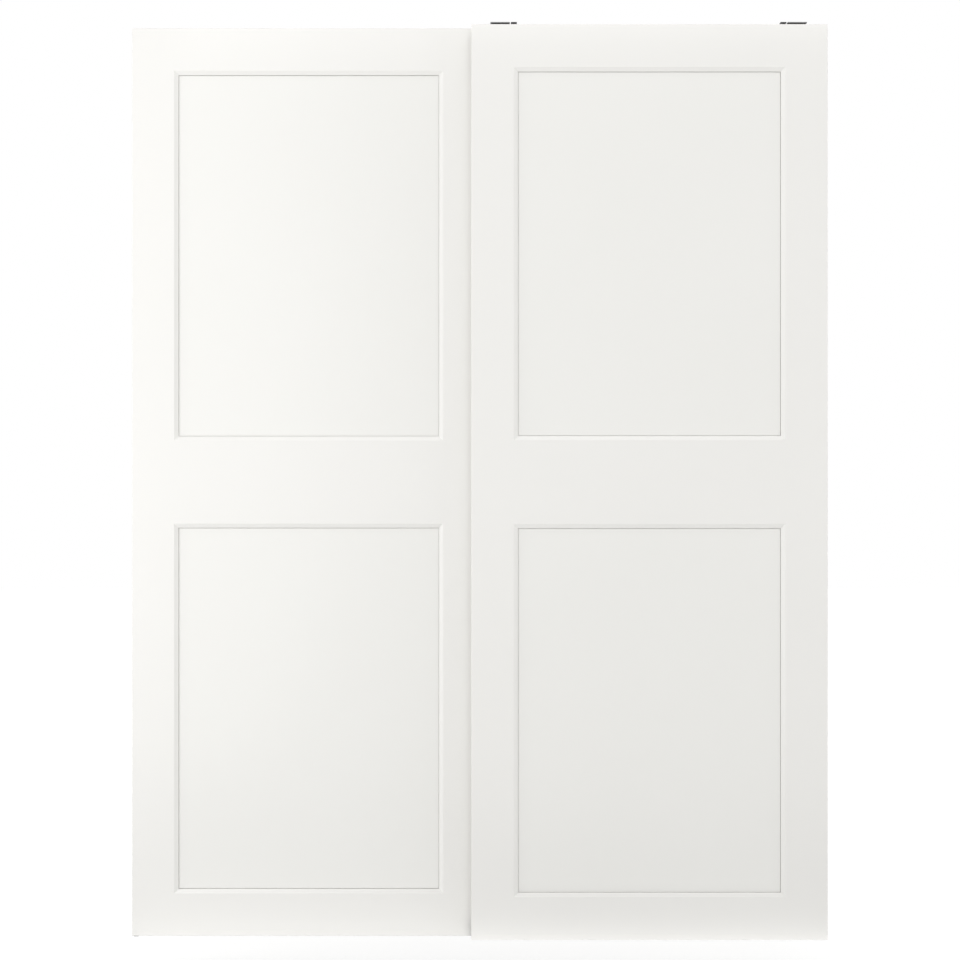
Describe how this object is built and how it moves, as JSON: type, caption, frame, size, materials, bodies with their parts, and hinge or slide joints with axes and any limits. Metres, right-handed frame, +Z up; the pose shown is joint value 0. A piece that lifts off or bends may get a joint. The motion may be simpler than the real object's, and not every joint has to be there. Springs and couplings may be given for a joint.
{
  "type": "double sliding door",
  "caption": "Pair of white framed wardrobe doors on overhead wheels that slide past each other on a twin top track and a twin bottom guide track.",
  "frame": {"origin": "middle of the row of fixing holes in the top track, on the cabinet's roof", "axes": "+Z up; +X to the right seen from the room; the room is on the -Y side and the cabinet behind the doors on the +Y side"},
  "size_m": [1.5, 0.113, 1.9908],
  "materials": {
    "white_foil_frame": "satin white foil on fibreboard",
    "white_foil_panel": "satin white foil on thin fibreboard",
    "beech": "fluted beech, hidden in the joints",
    "track_aluminium": "extruded, natural anodised",
    "dark_steel": "dark grey powder coat on pressed steel",
    "zinc": "zinc plated",
    "grey_plastic": "moulded, fine texture",
    "black_plastic": "moulded, fine texture",
    "nylon": "turned, self-lubricating",
    "rubber": "soft, matt"
  },
  "bodies": {
    "tracks": {"top_track": "track_aluminium", "top_track_cap_left": "grey_plastic", "top_track_cap_right": "grey_plastic", "rear_lane_stops": "zinc", "front_lane_stops": "zinc", "stop_buffers": "rubber", "stop_screws": "zinc", "bottom_track": "track_aluminium", "bottom_track_caps": "grey_plastic"},
    "rear_door": {"rear_left_stile": "white_foil_frame", "rear_right_stile": "white_foil_frame", "rear_top_rail": "white_foil_frame", "rear_middle_rail": "white_foil_frame", "rear_bottom_rail": "white_foil_frame", "rear_upper_panel": "white_foil_panel", "rear_lower_panel": "white_foil_panel", "rear_dowels": "beech", "rear_hanger_left": "dark_steel", "rear_carriage_left": "grey_plastic", "rear_guide_left": "black_plastic", "rear_hanger_right": "dark_steel", "rear_carriage_right": "grey_plastic", "rear_guide_right": "black_plastic", "rear_axles": "zinc", "rear_height_screws": "zinc", "rear_screws": "zinc"},
    "rear_wheel_left_outer": {"rear_wheel_left_outer": "nylon"},
    "rear_wheel_left_inner": {"rear_wheel_left_inner": "nylon"},
    "rear_wheel_right_inner": {"rear_wheel_right_inner": "nylon"},
    "rear_wheel_right_outer": {"rear_wheel_right_outer": "nylon"},
    "rear_roller_left": {"rear_roller_left": "nylon"},
    "rear_roller_right": {"rear_roller_right": "nylon"},
    "front_door": {"front_left_stile": "white_foil_frame", "front_right_stile": "white_foil_frame", "front_top_rail": "white_foil_frame", "front_middle_rail": "white_foil_frame", "front_bottom_rail": "white_foil_frame", "front_upper_panel": "white_foil_panel", "front_lower_panel": "white_foil_panel", "front_dowels": "beech", "front_hanger_left": "dark_steel", "front_carriage_left": "grey_plastic", "front_guide_left": "dark_steel", "front_arm_left": "dark_steel", "front_hanger_right": "dark_steel", "front_carriage_right": "grey_plastic", "front_guide_right": "dark_steel", "front_arm_right": "dark_steel", "front_axles": "zinc", "front_height_screws": "zinc", "front_screws": "zinc", "front_rivets": "zinc"},
    "front_wheel_left_outer": {"front_wheel_left_outer": "nylon"},
    "front_wheel_left_inner": {"front_wheel_left_inner": "nylon"},
    "front_wheel_right_inner": {"front_wheel_right_inner": "nylon"},
    "front_wheel_right_outer": {"front_wheel_right_outer": "nylon"},
    "front_roller_left": {"front_roller_left": "nylon"},
    "front_roller_right": {"front_roller_right": "nylon"},
    "front_lever_left": {"front_lever_left": "black_plastic"},
    "front_lever_right": {"front_lever_right": "black_plastic"}
  },
  "joints": [
    {"name": "rear_door_slide", "type": "slide", "parent": "tracks", "child": "rear_door", "axis": [1, 0, 0], "range_m": [0, 0.735]},
    {"name": "rear_wheel_left_outer_spin", "type": "hinge", "parent": "rear_door", "child": "rear_wheel_left_outer", "pos_m": [-0.708, -0.013, 0.0165], "axis": [0, 1, 0], "continuous": true},
    {"name": "rear_wheel_left_inner_spin", "type": "hinge", "parent": "rear_door", "child": "rear_wheel_left_inner", "pos_m": [-0.668, -0.013, 0.0165], "axis": [0, 1, 0], "continuous": true},
    {"name": "rear_wheel_right_inner_spin", "type": "hinge", "parent": "rear_door", "child": "rear_wheel_right_inner", "pos_m": [-0.067, -0.013, 0.0165], "axis": [0, 1, 0], "continuous": true},
    {"name": "rear_wheel_right_outer_spin", "type": "hinge", "parent": "rear_door", "child": "rear_wheel_right_outer", "pos_m": [-0.027, -0.013, 0.0165], "axis": [0, 1, 0], "continuous": true},
    {"name": "rear_roller_left_spin", "type": "hinge", "parent": "rear_door", "child": "rear_roller_left", "pos_m": [-0.74, -0.013, -1.9335], "axis": [0, 0, 1], "continuous": true},
    {"name": "rear_roller_right_spin", "type": "hinge", "parent": "rear_door", "child": "rear_roller_right", "pos_m": [0.005, -0.013, -1.9335], "axis": [0, 0, 1], "continuous": true},
    {"name": "front_door_slide", "type": "slide", "parent": "tracks", "child": "front_door", "axis": [-1, 0, 0], "range_m": [0, 0.735]},
    {"name": "front_wheel_left_outer_spin", "type": "hinge", "parent": "front_door", "child": "front_wheel_left_outer", "pos_m": [0.027, 0.013, 0.0165], "axis": [0, 1, 0], "continuous": true},
    {"name": "front_wheel_left_inner_spin", "type": "hinge", "parent": "front_door", "child": "front_wheel_left_inner", "pos_m": [0.067, 0.013, 0.0165], "axis": [0, 1, 0], "continuous": true},
    {"name": "front_wheel_right_inner_spin", "type": "hinge", "parent": "front_door", "child": "front_wheel_right_inner", "pos_m": [0.668, 0.013, 0.0165], "axis": [0, 1, 0], "continuous": true},
    {"name": "front_wheel_right_outer_spin", "type": "hinge", "parent": "front_door", "child": "front_wheel_right_outer", "pos_m": [0.708, 0.013, 0.0165], "axis": [0, 1, 0], "continuous": true},
    {"name": "front_roller_left_spin", "type": "hinge", "parent": "front_door", "child": "front_roller_left", "pos_m": [-0.005, 0.013, -1.9335], "axis": [0, 0, 1], "continuous": true},
    {"name": "front_roller_right_spin", "type": "hinge", "parent": "front_door", "child": "front_roller_right", "pos_m": [0.74, 0.013, -1.9335], "axis": [0, 0, 1], "continuous": true},
    {"name": "front_lever_left_turn", "type": "hinge", "parent": "front_door", "child": "front_lever_left", "pos_m": [0.0767, -0.044, 0.0386], "axis": [0, 0, 1], "range_deg": [0, 75]},
    {"name": "front_lever_right_turn", "type": "hinge", "parent": "front_door", "child": "front_lever_right", "pos_m": [0.6583, -0.044, 0.0386], "axis": [0, 0, -1], "range_deg": [0, 75]}
  ],
  "couplings": [
    {"joint": "rear_wheel_left_outer_spin", "follows": "rear_door_slide", "rad_per_m": 125},
    {"joint": "rear_wheel_left_inner_spin", "follows": "rear_door_slide", "rad_per_m": 125},
    {"joint": "rear_wheel_right_inner_spin", "follows": "rear_door_slide", "rad_per_m": 125},
    {"joint": "rear_wheel_right_outer_spin", "follows": "rear_door_slide", "rad_per_m": 125},
    {"joint": "rear_roller_left_spin", "follows": "rear_door_slide", "rad_per_m": 270.27},
    {"joint": "rear_roller_right_spin", "follows": "rear_door_slide", "rad_per_m": 270.27},
    {"joint": "front_wheel_left_outer_spin", "follows": "front_door_slide", "rad_per_m": -125},
    {"joint": "front_wheel_left_inner_spin", "follows": "front_door_slide", "rad_per_m": -125},
    {"joint": "front_wheel_right_inner_spin", "follows": "front_door_slide", "rad_per_m": -125},
    {"joint": "front_wheel_right_outer_spin", "follows": "front_door_slide", "rad_per_m": -125},
    {"joint": "front_roller_left_spin", "follows": "front_door_slide", "rad_per_m": -270.27},
    {"joint": "front_roller_right_spin", "follows": "front_door_slide", "rad_per_m": -270.27}
  ]
}
